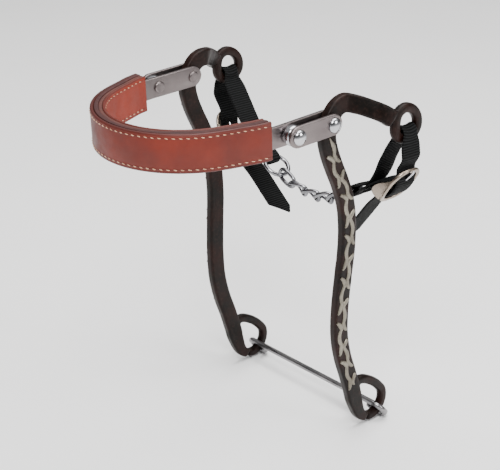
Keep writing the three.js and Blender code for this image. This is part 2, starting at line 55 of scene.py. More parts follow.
# ---- Camera: in front, to the right and a little above ----
AZIMUTH, ELEVATION, DISTANCE = math.radians(48.858), math.radians(23), 0.920
TARGET = Vector((0, -0.00351, -0.09218))
towards_camera = Vector((math.sin(AZIMUTH) * math.cos(ELEVATION), -math.cos(AZIMUTH) * math.cos(ELEVATION),
                         math.sin(ELEVATION)))
camera = bpy.data.objects.new("camera", bpy.data.cameras.new("camera"))
bpy.context.scene.collection.objects.link(camera)
camera.location = TARGET + DISTANCE * towards_camera
camera.rotation_mode = "QUATERNION"
camera.rotation_quaternion = (-towards_camera).to_track_quat("-Z", "Y")
camera.data.sensor_width = 36
camera.data.lens = 102.2
camera.data.clip_start, camera.data.clip_end = 0.01, 20
bpy.context.scene.camera = camera

# ---- Dimensions that the CAD part also has, in millimetres ----
HALF_SPREAD = 66.0
GAP = 0.3
BAR_WIDTH, BAR_THICKNESS = 11.8, 6.0
PLATE, PLATE_HEIGHT = 2.5, 13.4
FRONT_RIVET_Y = -28.2
NOSE_TILT = math.atan(0.046)
NOSE_CENTRE_Y, NOSE_RADIUS, NOSE_SPLAY = -51.0, 56.2, math.radians(19)
LEATHER_HEIGHT, LEATHER_END_Y = 24.0, -42.5
ARM_JOG, TOE_IN, RING_BAR = 17.5, 5.5, 6.2
REIN_Y, REIN_Z, REIN_RADIUS = 50.3, -208.0, 11.6
INNER_X = HALF_SPREAD - BAR_THICKNESS / 2 - GAP - PLATE / 2
OUTER_X = HALF_SPREAD + BAR_THICKNESS / 2 + GAP + PLATE / 2
REIN_X = HALF_SPREAD - TOE_IN
HEAD_X = HALF_SPREAD + ARM_JOG
STRAP_WIDTH, STRAP, STRAP_Y = 16.0, 1.8, 49.0
LINK_WIRE, LINK_HALF, LINK_HALF_WIDTH, LINKS = 1.2, 7.5, 4.1, 5
CHAIN_SLOPE, CHAIN_BEND = 1.0, 10.8
CURB_RING, CURB_WIRE, RING_SLOPE, TAB_SLACK = 8.5, 1.4, 34.0, 2.1
COVER, PADDING, LINING, WELT = 2.3, 2.0, 1.8, 5.0
STITCH_ROW, CREASE_ROW = 9.55, 10.75
RIB_PITCH = 1.6
HOLE_RADIUS, TONGUE_HOLE_RADIUS = 2.2, 1.5
X, Y, Z = np.eye(3)


# ---- Curves and sweeps ----
def spline(points, count, closed=False):
    """Points evenly spaced along a centripetal Catmull-Rom curve."""
    p = np.array(points, float)
    n = len(p)
    if closed:
        p = np.vstack([p[-1], p, p[0], p[1]])
    else:
        p = np.vstack([2 * p[0] - p[1], p, 2 * p[-1] - p[-2]])
    dense = []
    for i in range(n if closed else n - 1):
        a, b, c, d = p[i:i + 4]
        t1 = max(np.linalg.norm(b - a) ** 0.5, 1e-4)
        t2 = t1 + max(np.linalg.norm(c - b) ** 0.5, 1e-4)
        t3 = t2 + max(np.linalg.norm(d - c) ** 0.5, 1e-4)
        t = np.linspace(t1, t2, 24, endpoint=False)[:, None]
        ab, bc, cd = (t1 - t) * a / t1 + t * b / t1, ((t2 - t) * b + (t - t1) * c) / (t2 - t1), \
            ((t3 - t) * c + (t - t2) * d) / (t3 - t2)
        abc, bcd = ((t2 - t) * ab + t * bc) / t2, ((t3 - t) * bc + (t - t1) * cd) / (t3 - t1)
        dense.append(((t2 - t) * abc + (t - t1) * bcd) / (t2 - t1))
    dense.append(p[1][None] if closed else p[-2][None])
    dense = np.vstack(dense)
    length = lengths(dense)
    at = np.linspace(0, length[-1], count + 1)[:count + (0 if closed else 1)]
    return np.stack([np.interp(at, length, dense[:, k]) for k in range(3)], axis=1)


def lengths(points):
    """The distance run at each point of a line."""
    return np.concatenate([[0], np.cumsum(np.linalg.norm(np.diff(points, axis=0), axis=1))])


def rounded(width, thickness, radius, steps=5):
    """A rounded rectangle, counterclockwise."""
    u, v = width / 2 - radius, thickness / 2 - radius
    out = []
    for quarter, (cu, cv) in enumerate(((u, v), (-u, v), (-u, -v), (u, -v))):
        for k in range(steps + 1):
            angle = (quarter + k / steps) * math.pi / 2
            out.append((cu + radius * math.cos(angle), cv + radius * math.sin(angle)))
    return np.array(out)


def circle(radius, steps):
    angle = (np.arange(steps) + 0.5) * 2 * math.pi / steps
    return np.stack([radius * np.cos(angle), radius * np.sin(angle)], axis=1)


def signed_power(value, exponent):
    """Squares up a circle's sine and cosine, below an exponent of 1."""
    return np.sign(value) * np.abs(value) ** exponent


class Shape:
    """Vertices, faces and texture coordinates of one piece, gathered from several bodies."""

    def __init__(self):
        self.vertices, self.faces, self.uvs = [], [], []

    def add(self, vertices, faces, uvs):
        start = len(self.vertices)
        self.vertices += [tuple(v) for v in vertices]
        self.faces += [tuple(start + i for i in f) for f in faces]
        self.uvs += uvs

    def sweep(self, points, side, section_at, closed=False, cap=0.0):
        """Carries a section along points; cap rounds both open ends by that much."""
        points = np.array(points, float)
        count = len(points)
        if closed:
            along = np.roll(points, -1, 0) - np.roll(points, 1, 0)
        else:
            along = np.vstack([points[1] - points[0], points[2:] - points[:-2], points[-1] - points[-2]])
        along /= np.linalg.norm(along, axis=1)[:, None]
        distance = lengths(points)
        rows, row_length = [], []
        for i in range(count):
            direction = side[i] if np.ndim(side) == 2 else side
            across = np.cross(along[i], direction)
            across /= np.linalg.norm(across)
            up = np.cross(across, along[i])
            section = np.array(section_at(i / (count - 1)))
            rows.append((points[i], across, up, section))
            row_length.append(distance[i])
        if cap and not closed:
            for end, sign in ((0, -1), (-1, 1)):
                p, across, up, section = rows[end]
                half = np.abs(section).max(0)
                extra = []
                for angle in (30, 55, 75, 88):
                    a = math.radians(angle)
                    scale = (half - cap * (1 - math.cos(a))) / half
                    step = cap * (math.sin(a) - 1)
                    extra.append((p + sign * along[end] * step, across, up, section * scale))
                rows[end] = (p - sign * along[end] * cap, across, up, section)
                if end == 0:
                    rows = extra[::-1] + rows
                    row_length = [row_length[0]] * 4 + row_length
                else:
                    rows += extra
                    row_length += [row_length[-1]] * 4
        sides = len(rows[0][3])
        vertices = [p + across * s[0] + up * s[1] for p, across, up, section in rows for s in section]
        faces, uvs = [], []
        total = len(rows)
        for i in range(total if closed else total - 1):
            n = (i + 1) % total
            far = row_length[n] if n else row_length[-1] + np.linalg.norm(points[0] - points[-1])
            for j in range(sides):
                k = (j + 1) % sides
                faces.append((i * sides + j, i * sides + k, n * sides + k, n * sides + j))
                vj, vk = rows[i][3][j][1], rows[i][3][k][1]
                uvs.append(((row_length[i], vj), (row_length[i], vk), (far, vk), (far, vj)))
        if not closed:
            for row, order in ((0, range(sides - 1, -1, -1)), (total - 1, range(sides))):
                faces.append([row * sides + j for j in order])
                uvs.append([(row_length[row], rows[row][3][j][1]) for j in order])
        self.add(vertices, faces, uvs)

    def lathe(self, profile, centre, axis, steps=48):
        """Turns (radius, height) points round an axis through centre."""
        axis = np.array(axis, float)
        first = np.cross(axis, Y if abs(axis[1]) < 0.9 else X)
        second = np.cross(axis, first)
        vertices, faces, uvs = [], [], []
        for radius, height in profile:
            for k in range(steps):
                a = 2 * math.pi * k / steps
                vertices.append(np.array(centre) + height * axis
                                + max(radius, 0.001) * (math.cos(a) * first + math.sin(a) * second))
        for i in range(len(profile) - 1):
            for k in range(steps):
                n = (k + 1) % steps
                faces.append((i * steps + k, i * steps + n, (i + 1) * steps + n, (i + 1) * steps + k))
                uvs.append([(k, profile[i][0]), (k + 1, profile[i][0]), (k + 1, profile[i + 1][0]),
                            (k, profile[i + 1][0])])
        self.add(vertices, faces, uvs)

    def mirrored(self):
        """The same shape on the other side of x = 0."""
        other = Shape()
        other.vertices = [(-x, y, z) for x, y, z in self.vertices]
        other.faces = [tuple(reversed(f)) for f in self.faces]
        other.uvs = [tuple(reversed(u)) for u in self.uvs]
        return other

    def tilted(self, angle):
        """Turns the shape about the pivots' axis, nose up."""
        c, s = math.cos(angle), math.sin(angle)
        self.vertices = [(x, y * c - z * s, y * s + z * c) for x, y, z in self.vertices]
        return self

    def piece(self, name, material, body, replaces=(), slot=None, sharp=40, crisp=False):
        """Makes the mesh object in metres and tells the frame what it rides and replaces."""
        mesh = bpy.data.meshes.new(name)
        mesh.from_pydata([tuple(MM * c for c in v) for v in self.vertices], [], self.faces)
        layer = mesh.uv_layers.new(name="UVMap")
        flat = [MM * c for face in self.uvs for uv in face for c in uv]
        layer.data.foreach_set("uv", flat)
        mesh.materials.append(material)
        mesh.shade_smooth()
        mesh.set_sharp_from_angle(angle=math.radians(sharp))
        obj = bpy.data.objects.new(name, mesh)
        bpy.context.scene.collection.objects.link(obj)
        if crisp:
            modifier = obj.modifiers.new("normals", "WEIGHTED_NORMAL")
            modifier.keep_sharp = True
        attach(obj, body)
        if replaces:
            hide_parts(*replaces)
        return obj


def apply_modifiers(obj):
    """Swaps obj's mesh for the evaluated one."""
    bpy.context.view_layer.update()
    evaluated = obj.evaluated_get(bpy.context.evaluated_depsgraph_get())
    mesh = bpy.data.meshes.new_from_object(evaluated)
    obj.modifiers.clear()
    obj.data = mesh


# ---- Materials ----
class Look:
    """A node material under construction, around one Principled shader."""

    def __init__(self, name, **sockets):
        self.material = bpy.data.materials.new(name)
        self.material.use_nodes = True
        self.tree = self.material.node_tree
        self.shader = self.tree.nodes["Principled BSDF"]
        for key, value in sockets.items():
            self.shader.inputs[key.replace("_", " ")].default_value = value

    def node(self, kind, inputs=None, **settings):
        node = self.tree.nodes.new("ShaderNode" + kind)
        for key, value in settings.items():
            setattr(node, key, value)
        for key, value in (inputs or {}).items():
            if isinstance(value, bpy.types.NodeSocket):
                self.tree.links.new(value, node.inputs[key])
            else:
                node.inputs[key].default_value = value
        return node

    def place(self, scale=(1, 1, 1)):
        """Object coordinates in metres, stretched by scale."""
        source = self.node("TexCoord").outputs["Object"]
        return self.node("Mapping", {"Vector": source, "Scale": scale}).outputs[0]

    def uv(self):
        source = self.node("UVMap", uv_map="UVMap").outputs[0]
        split = self.node("SeparateXYZ", {0: source})
        return split.outputs[0], split.outputs[1]

    def noise(self, scale, detail, stretch=(1, 1, 1)):
        return self.node("TexNoise", {"Vector": self.place(stretch), "Scale": scale, "Detail": detail,
                                      "Roughness": 0.55}).outputs[0]

    def math(self, operation, a, b=0.0, c=0.0, clamp=False):
        return self.node("Math", {0: a, 1: b, 2: c}, operation=operation, use_clamp=clamp).outputs[0]

    def ramp(self, value, stops):
        """stops: (position, grey level or colour)."""
        node = self.node("ValToRGB", {0: value})
        elements = node.color_ramp.elements
        while len(elements) < len(stops):
            elements.new(0.5)
        for element, (position, color) in zip(elements, stops):
            element.position = position
            element.color = (*color, 1) if isinstance(color, tuple) else (color, color, color, 1)
        return node.outputs[0]

    def mix(self, factor, a, b):
        """From colour a to colour b by factor."""
        node = self.node("Mix", data_type="RGBA", blend_type="MIX")
        for socket, value in ((0, factor), (6, a), (7, b)):
            if isinstance(value, bpy.types.NodeSocket):
                self.tree.links.new(value, node.inputs[socket])
            else:
                node.inputs[socket].default_value = (*value, 1) if isinstance(value, tuple) else value
        return node.outputs[2]

    def set(self, socket, value):
        self.tree.links.new(value, self.shader.inputs[socket])

    def bump(self, layers):
        """layers: (height socket, strength, distance in mm), laid over each other."""
        normal = None
        for height, strength, distance in layers:
            inputs = {"Height": height, "Strength": strength, "Distance": distance * MM}
            if normal is not None:
                inputs["Normal"] = normal
            normal = self.node("Bump", inputs).outputs[0]
        self.set("Normal", normal)
        return self.material


def leather(name, base, deep, edge, half_height, lines, left_shade_and_stain=0.0):
    """Smooth oiled leather: fine grain, mottling, burnished edges and creased lines along them.

    The last argument darkens the left side: partly painted shade where the band curves away from the light, partly
    staining.
    """
    look = Look(name, Specular_IOR_Level=0.36, Coat_Weight=0.06, Coat_Roughness=0.35)
    _, height = look.uv()
    mottle = look.noise(38, 5)
    fine = look.noise(420, 5)
    color = look.mix(look.ramp(mottle, [(0.35, 0.0), (0.68, 1.0)]), base, deep)
    color = look.mix(look.math("MULTIPLY", fine, 0.22), color, edge)
    # Painted shade, partly also staining: the leather is made darker towards the left, where the band turns away from
    # the light.
    leftward = look.math("SUBTRACT", -0.012, look.node("SeparateXYZ", {"Vector": look.place()}).outputs[0])
    left_shade_and_stain_mask = look.math("MULTIPLY", leftward, 26.0, clamp=True)
    color = look.mix(look.math("MULTIPLY", left_shade_and_stain_mask, left_shade_and_stain), color, edge)
    away = look.math("ABSOLUTE", height)
    edges = look.ramp(look.math("DIVIDE", away, half_height * MM), [(0.9, 0.0), (0.975, 1.0)])
    color = look.mix(look.math("MULTIPLY", edges, 0.7), color, edge)
    dip = None
    for line, width in lines:
        gap = look.math("DIVIDE", look.math("ABSOLUTE", look.math("SUBTRACT", away, line * MM)), width * MM)
        near = look.math("SUBTRACT", 1.0, gap, clamp=True)
        dip = near if dip is None else look.math("MAXIMUM", dip, near)
    if dip is not None:
        color = look.mix(look.math("MULTIPLY", dip, 0.42), color, edge)
    look.set("Base Color", color)
    look.set("Roughness", look.ramp(look.noise(160, 6), [(0.3, 0.42), (0.75, 0.6)]))
    pores = look.node("TexVoronoi", {"Vector": look.place(), "Scale": 1150.0},
                      feature="DISTANCE_TO_EDGE").outputs[0]
    layers = [(look.ramp(pores, [(0.0, 0.0), (0.12, 1.0)]), 0.16, 0.06), (fine, 0.3, 0.08),
              (look.noise(90, 3), 0.25, 0.5)]
    if dip is not None:
        layers.append((look.math("SUBTRACT", 1.0, dip), 0.6, 0.3))
    return look.bump(layers)


def layered_edge(name, base, deep):
    """Filler leather seen edge-on: compressed fibres running along the band."""
    look = Look(name, Specular_IOR_Level=0.35)
    fibres = look.noise(700, 4, (0.35, 0.35, 2.4))
    color = look.mix(look.ramp(look.noise(60, 4), [(0.3, 0.0), (0.7, 1.0)]), base, deep)
    look.set("Base Color", look.mix(look.math("MULTIPLY", fibres, 0.5), color, tuple(0.5 * c for c in deep)))
    look.set("Roughness", look.ramp(fibres, [(0.3, 0.5), (0.7, 0.75)]))
    return look.bump([(fibres, 0.5, 0.15), (look.noise(180, 3), 0.3, 0.3)])


def brushed(name, base, worn, roughness, stretch, scale, strength=0.12):
    """Satin steel: fine brushing one way, faint smears and pits."""
    look = Look(name, Metallic=1.0)
    lines = look.noise(scale, 6, stretch)
    smear = look.noise(45, 4)
    color = look.mix(look.ramp(smear, [(0.35, 0.0), (0.7, 1.0)]), base, worn)
    look.set("Base Color", look.mix(look.math("MULTIPLY", lines, 0.25), color, tuple(0.7 * c for c in worn)))
    low, high = roughness
    look.set("Roughness", look.ramp(look.noise(220, 5, stretch), [(0.25, low), (0.75, high)]))
    pits = look.ramp(look.noise(900, 2), [(0.28, 0.0), (0.36, 1.0)])
    return look.bump([(lines, strength, 0.04), (pits, 0.12, 0.05), (look.noise(70, 2), 0.1, 0.3)])


def antique(name):
    """Browned steel: near-black brown with reddish patches and fine brighter specks."""
    look = Look(name, Metallic=0.3, Specular_IOR_Level=0.18)
    blotch = look.noise(55, 6)
    fine = look.noise(520, 5)
    color = look.mix(look.ramp(blotch, [(0.38, 0.0), (0.66, 1.0)]),
                     (0.005, 0.0035, 0.0028), (0.016, 0.0052, 0.0036))
    color = look.mix(look.ramp(fine, [(0.5, 0.0), (0.85, 0.4)]), color, (0.05, 0.024, 0.018))
    look.set("Base Color", color)
    look.set("Roughness", look.ramp(look.noise(130, 6), [(0.3, 0.3), (0.72, 0.52)]))
    return look.bump([(fine, 0.22, 0.08), (look.noise(120, 3), 0.25, 0.35)])


def silver(name):
    """Cast silver scroll: warm grey metal, fine grit, dark in its hollows."""
    look = Look(name, Metallic=0.8)
    grit = look.noise(640, 5)
    color = look.mix(look.ramp(look.noise(120, 5), [(0.3, 0.0), (0.7, 1.0)]),
                     (0.155, 0.138, 0.108), (0.27, 0.247, 0.2))
    look.set("Base Color", look.mix(look.ramp(grit, [(0.3, 0.5), (0.5, 0.0)]), color, (0.07, 0.058, 0.045)))
    look.set("Roughness", look.ramp(grit, [(0.3, 0.32), (0.7, 0.5)]))
    return look.bump([(grit, 0.35, 0.08), (look.noise(200, 3), 0.3, 0.2)])


def webbing(name):
    """Ribbed nylon webbing: a rib every RIB_PITCH, each of small side-by-side yarns, with stray lint."""
    look = Look(name, Specular_IOR_Level=0.14)
    along, across = look.uv()
    rib = look.math("SINE", look.math("MULTIPLY", along, 2 * math.pi / (RIB_PITCH * MM)))
    yarn = look.math("SINE", look.math("MULTIPLY_ADD", across, 2 * math.pi / (0.95 * MM),
                                       look.math("MULTIPLY", rib, 0.9)))
    weave = look.math("MULTIPLY", look.math("MULTIPLY_ADD", rib, 0.5, 0.5),
                      look.math("MULTIPLY_ADD", yarn, 0.22, 0.78))
    fuzz = look.noise(900, 4)
    # Painted shade: the colour darkens from the raised ribs down into the hollows between ribs and yarns, and the
    # raised weave is painted lighter.
    color = look.mix(look.math("POWER", weave, 2.2), (0.0005, 0.0006, 0.0006), (0.015, 0.016, 0.0165))
    color = look.mix(look.ramp(fuzz, [(0.62, 0.0), (0.8, 0.35)]), color, (0.022, 0.023, 0.023))
    look.set("Base Color", color)
    look.set("Roughness", look.ramp(weave, [(0.0, 0.92), (1.0, 0.62)]))
    return look.bump([(weave, 0.8, 0.35), (fuzz, 0.35, 0.1)])


def thread(name):
    """Waxed stitching thread: pale strands twisted with darker ones."""
    look = Look(name, Specular_IOR_Level=0.3, Sheen_Weight=0.2)
    twist = look.noise(1500, 3, (1, 1, 0.4))
    look.set("Base Color", look.ramp(twist, [(0.3, (0.42, 0.2, 0.1)), (0.7, (0.8, 0.5, 0.33))]))
    look.set("Roughness", look.ramp(twist, [(0.3, 0.6), (0.7, 0.85)]))
    return look.bump([(twist, 0.6, 0.12)])


russet = leather("russet_leather", (0.19, 0.0145, 0.0025), (0.115, 0.0095, 0.0025), (0.03, 0.0062, 0.0055),
                 LEATHER_HEIGHT / 2, [(STITCH_ROW, 0.8), (CREASE_ROW, 0.28)], left_shade_and_stain=0.6)
lining_leather = leather("lining_leather", (0.255, 0.021, 0.0038), (0.17, 0.014, 0.0034), (0.04, 0.0085, 0.0065),
                         11.7, [(9.35, 0.8)])
welt_leather = layered_edge("welt_leather", (0.07, 0.017, 0.014), (0.035, 0.0105, 0.0105))
felt_fill = layered_edge("felt_fill", (0.12, 0.036, 0.026), (0.06, 0.02, 0.017))
plate_steel = brushed("plate_steel", (0.225, 0.195, 0.19), (0.165, 0.14, 0.14), (0.28, 0.44), (1, 0.12, 1), 900)
rod_steel = brushed("rod_steel", (0.30, 0.29, 0.295), (0.16, 0.155, 0.16), (0.18, 0.34), (0.1, 1, 1), 900)
chrome = brushed("polished_chrome", (0.58, 0.58, 0.6), (0.4, 0.4, 0.43), (0.06, 0.18), (1, 1, 1), 500, 0.05)
chain_metal = brushed("chain_metal", (0.34, 0.34, 0.355), (0.11, 0.11, 0.12), (0.1, 0.24), (1, 1, 1), 600, 0.08)
buckle_metal = brushed("buckle_metal", (0.36, 0.3, 0.245), (0.22, 0.18, 0.145), (0.16, 0.34), (1, 0.2, 1), 700)
browned = antique("browned_steel")
scroll_silver = silver("scroll_silver")
black_webbing = webbing("black_webbing")
cream_thread = thread("cream_thread")


# ---- Noseband ----
def bow_point(angle):
    """A point of the round front, angle measured from +X towards the rear."""
    return [NOSE_RADIUS * math.cos(angle), NOSE_CENTRE_Y + NOSE_RADIUS * math.sin(angle), 0]


def nose_line():
    """The strip's middle line, from the right pivot round the front to the left one."""
    end_x, end_y, _ = bow_point(-NOSE_SPLAY)
    side = [[INNER_X, y, 0] for y in (0, -18, -38)]
    side += [[end_x + (y - end_y) * math.tan(NOSE_SPLAY), y, 0] for y in (-49.5, -60)]
    bow = [bow_point(-NOSE_SPLAY - (math.pi - 2 * NOSE_SPLAY) * i / 12) for i in range(13)]
    return spline(side + bow + [[-x, y, z] for x, y, z in reversed(side)], 900)


NOSE = nose_line()


def nose_path(offset, end_y, steps):
    """The strip's middle line offset outwards, from end_y on one side to end_y on the other."""
    inside = NOSE[NOSE[:, 1] <= end_y] if end_y < 0 else NOSE
    along = np.gradient(inside, axis=0)
    along /= np.linalg.norm(along, axis=1)[:, None]
    path = inside + offset * np.stack([-along[:, 1], along[:, 0], 0 * along[:, 0]], axis=1)
    index = np.linspace(0, len(path) - 1, steps + 1).round().astype(int)
    return path[index]


def band_section(thickness, height, radius, crown=0.0, grooves=()):
    """A leather layer's section, thicker at mid-height by crown.

    Its outer face has shallow grooves, given as (height, depth).
    """
    outline = [(u, v) for u, v in rounded(thickness, height, radius, 4)]
    heights = np.linspace(height / 2 - radius, radius - height / 2, 34)
    faces = []
    for v in heights:
        swell = crown * (1 - (2 * v / height) ** 2)
        groove = sum(depth * math.exp(-((abs(v) - at) / 0.45) ** 2) for at, depth in grooves)
        faces.append((thickness / 2 + swell - groove, v))
    corner = 5
    first, second = outline[:corner], outline[corner:2 * corner]
    third, fourth = outline[2 * corner:3 * corner], outline[3 * corner:]
    return np.array(first + second + third + fourth + faces[::-1][1:-1])


def nose_layer(name, material, offset, thickness, height, end_y, slot, section=None, lift=0.0, radius=0.5):
    """One layer of the noseband, swept along the strip's line at the given offset."""
    path = nose_path(offset, end_y, 150) + np.array([0, 0, lift])
    shape = Shape()
    outline = rounded(thickness, height, radius, 4) if section is None else section
    shape.sweep(path, Z, lambda t: outline, cap=min(radius, 1.0))
    return shape.tilted(NOSE_TILT).piece(name, material, "noseband", (name,), slot, sharp=50)


cover_offset = (PLATE + COVER) / 2 + GAP
padding_offset = -(PLATE + PADDING) / 2 - GAP
lining_offset = padding_offset - (PADDING + LINING) / 2 - GAP
welt_lift = PLATE_HEIGHT / 2 + GAP + WELT / 2

nose_layer("leather_cover", russet, cover_offset, COVER, LEATHER_HEIGHT, LEATHER_END_Y, "russet_leather",
           band_section(COVER, LEATHER_HEIGHT, 1.0, 0.5, ((STITCH_ROW, 0.25), (CREASE_ROW, 0.1))))
nose_layer("leather_lining", lining_leather, lining_offset, LINING, LEATHER_HEIGHT - 0.6, LEATHER_END_Y,
           "dark_leather", radius=0.6)
padding = nose_layer("nose_padding", felt_fill, padding_offset, PADDING + 0.3, LEATHER_HEIGHT - 0.9,
                     LEATHER_END_Y - 0.4, "felt")
for name, side in (("top_welt", 1), ("bottom_welt", -1)):
    nose_layer(name, welt_leather, 0, PLATE + 0.2, WELT, LEATHER_END_Y - 0.2, "dark_leather", lift=side * welt_lift)


def stitch(shape, centre, along, out, length, radius):
    """One stitch: a short fat thread that dips into the leather at both ends."""
    up = np.cross(along, out)
    points = [centre + along * length * (k / 8 - 0.5) + out * (0.3 * math.cos(math.pi * (k / 8 - 0.5)) - 0.16)
              + up * 0.4 * (k / 8 - 0.5) for k in range(9)]
    shape.sweep(points, out, lambda t: circle(radius * (0.55 + 0.45 * math.sin(math.pi * min(max(t, 0.02), 0.98))), 8))


def stitching(name, offset, outward, rows, length, radius, pitch=4.2):
    """Rows of stitches round the noseband, on the outer (1) or inner (-1) face."""
    shape = Shape()
    path = nose_path(offset, LEATHER_END_Y - 2, 600)
    distance = lengths(path)
    count = int(distance[-1] // pitch)
    margin = (distance[-1] - (count - 1) * pitch) / 2
    for height in rows:
        for i in range(count):
            at = margin + i * pitch
            centre = np.array([np.interp(at, distance, path[:, k]) for k in range(3)])
            ahead = np.array([np.interp(at + 0.5, distance, path[:, k]) for k in range(3)])
            along = (ahead - centre) / np.linalg.norm(ahead - centre)
            out = outward * np.array([-along[1], along[0], 0])
            stitch(shape, centre + np.array([0, 0, height]), along, out, length, radius)
    return shape.tilted(NOSE_TILT).piece(name, cream_thread, "noseband", slot="russet_leather", sharp=80)


stitching("outer_stitching", cover_offset + COVER / 2 + 0.02, 1, (STITCH_ROW, -STITCH_ROW), 1.9, 0.3)
stitching("inner_stitching", lining_offset - LINING / 2 + 0.02, -1, (STITCH_ROW - 0.2, 0.2 - STITCH_ROW), 1.9, 0.27)


def steel_strip():
    """The strip in one sweep, its two ends rounded behind the shank pivots."""
    radius = PLATE_HEIGHT / 2
    middle = nose_path(0, 1, 220)
    steps = radius * np.sin(np.linspace(0, math.pi / 2, 15)[1:] * 0.985)
    start = [middle[0] + step * Y for step in steps[::-1]]
    finish = [middle[-1] + step * Y for step in steps]
    path = np.vstack([start, middle, finish])

    def section(t):
        y = path[int(round(t * (len(path) - 1)))][1]
        height = 2 * math.sqrt(max(radius * radius - max(y, 0) ** 2, 0.5))
        return rounded(PLATE, height, 0.4, 3)

    shape = Shape()
    shape.sweep(path, Z, section)
    return shape.tilted(NOSE_TILT)


steel_strip().piece("noseband_strip", plate_steel, "noseband", ("noseband_strip",), "satin_steel", sharp=35)


def outer_plate():
    """A plate with round ends and a soft bevel, built as stacked outlines."""
    radius = PLATE_HEIGHT / 2
    shape = Shape()
    layers = [(-PLATE / 2, 0.5), (0.15 - PLATE / 2, 0.15), (0.5 - PLATE / 2, 0), (PLATE / 2 - 0.8, 0),
              (PLATE / 2 - 0.25, 0.2), (PLATE / 2, 0.75)]
    rings = []
    for x, inset in layers:
        ring = []
        for centre, first in ((0, -90), (FRONT_RIVET_Y, 90)):
            for k in range(33):
                a = math.radians(first + 180 * k / 32)
                ring.append((OUTER_X + x, centre + (radius - inset) * math.cos(a), (radius - inset) * math.sin(a)))
        rings.append(ring)
    count = len(rings[0])
    flat = [v for ring in rings for v in ring]
    faces, uvs = [], []
    for i in range(len(rings) - 1):
        for j in range(count):
            k = (j + 1) % count
            face = (i * count + j, i * count + k, (i + 1) * count + k, (i + 1) * count + j)
            faces.append(face)
            uvs.append([(flat[q][1], flat[q][2]) for q in face])
    last = (len(rings) - 1) * count
    for face in (tuple(range(count - 1, -1, -1)), tuple(last + j for j in range(count))):
        faces.append(face)
        uvs.append([(flat[q][1], flat[q][2]) for q in face])
    shape.add(flat, faces, uvs)
    return shape.tilted(NOSE_TILT)


def rivet(y):
    """A rivet through strip and plate: a domed head outside, a low peened disc inside."""
    head, tail = OUTER_X + PLATE / 2 + GAP, INNER_X - PLATE / 2 - GAP
    profile = [(0.01, tail - 0.9), (2.5, tail - 0.9), (3.1, tail - 0.8), (3.5, tail - 0.5), (3.7, tail - 0.2),
               (3.7, tail + 0.25), (2.6, tail + 0.25), (2.6, head - 0.25), (4.6, head - 0.25), (4.7, head)]
    profile += [(4.7 * math.cos(a), head + 2.7 * math.sin(a)) for a in np.linspace(0.12, math.pi / 2, 14)]
    shape = Shape()
    shape.lathe(profile, (0, y, 0), X, 56)
    return shape.tilted(NOSE_TILT)


def spacer_bush():
    """A barrel-shaped spacer between strip and plate on the front rivet."""
    half = BAR_THICKNESS / 2
    profile = [(2.9, -half), (5.2, -half), (5.6, 0.25 - half)]
    profile += [(5.6 + 0.8 * math.cos(a), (half - 0.4) * math.sin(a)) for a in np.linspace(-1.4, 1.4, 15)]
    profile += [(5.6, half - 0.25), (5.2, half), (2.9, half), (2.9, -half)]
    shape = Shape()
    shape.lathe([(radius, HALF_SPREAD + x) for radius, x in profile], (0, FRONT_RIVET_Y, 0), X, 56)
    return shape.tilted(NOSE_TILT)


for side in ("right", "left"):
    def sided(shape):
        return shape if side == "right" else shape.mirrored()

    sided(spacer_bush()).piece(f"spacer_bush_{side}", chrome, "noseband", (f"spacer_bush_{side}",),
                               "satin_steel", sharp=50)
    sided(outer_plate()).piece(f"outer_plate_{side}", plate_steel, "noseband", (f"outer_plate_{side}",),
                               "satin_steel", sharp=60, crisp=True)
    for name, y in (("front_rivet", FRONT_RIVET_Y), ("pivot_rivet", 0)):
        pin = sided(rivet(y)).piece(f"{name}_{side}", chrome, "noseband", (f"{name}_{side}",), "chrome", sharp=50)
        pin.data.materials.append(plate_steel)
        for polygon in pin.data.polygons:
            polygon.material_index = int(abs(polygon.center.x) < INNER_X * MM)


# ---- Shanks ----
def between(value, low, high):
    """0 below low, 1 above high and even in between."""
    return min(max((value - low) / (high - low), 0), 1)


def shank_x(y, z):
    """The bar's middle: it jogs outwards along the arm and toes in down the stem."""
    toe = between(-z, 15, 185)
    jog = ARM_JOG * between(y, 14.5, 36.5) * (1 if z > -30 else 0)
    return HALF_SPREAD + jog - TOE_IN * toe * toe * (3 - 2 * toe)


def on_shank(points):
    return [[0, y, z] for y, z in points]


def placed(points):
    """Side-view points moved out to the bar's middle."""
    return np.array([[shank_x(y, z), y, z] for _, y, z in points])


ARM = on_shank([[37, -1.5], [32.5, 2.2], [26, 5.6], [19, 8.6], [12.5, 9.9], [6.8, 8.1], [2.6, 3.6],
                [0.3, -2.6], [-0.8, -9], [1.3, -18], [5.2, -27.5], [11.5, -40.5]])
STEM = on_shank([[11.5, -40.5], [17.2, -55.5], [19.8, -70], [20.6, -87], [19.4, -107], [18.3, -130],
                 [19.2, -149], [23, -165.5], [28.3, -180], [32.6, -193], [36.2, -205], [40.5, -214.5], [46, -219]])
HEAD_RING = on_shank([[39.4, -6], [41, 0.6], [45.8, 3.6], [51.4, 2.9], [56.2, -0.6], [58.7, -5.6],
                      [58.2, -10.8], [54.4, -14.6], [48.8, -15.6], [43.4, -14.6], [40.1, -11.2]])
REIN_TOP = on_shank([[33, -192.5], [37.4, -189.4], [42, -189.3], [47.7, -191.8], [53.8, -195.8], [58.8, -200.6]])


def rein_ring():
    """The loop from the stem's foot round the rein opening."""
    arc = [[0, REIN_Y + REIN_RADIUS * math.cos(a), REIN_Z + REIN_RADIUS * math.sin(a)]
           for a in np.radians([22 - 18 * i for i in range(8)])]
    return REIN_TOP + arc


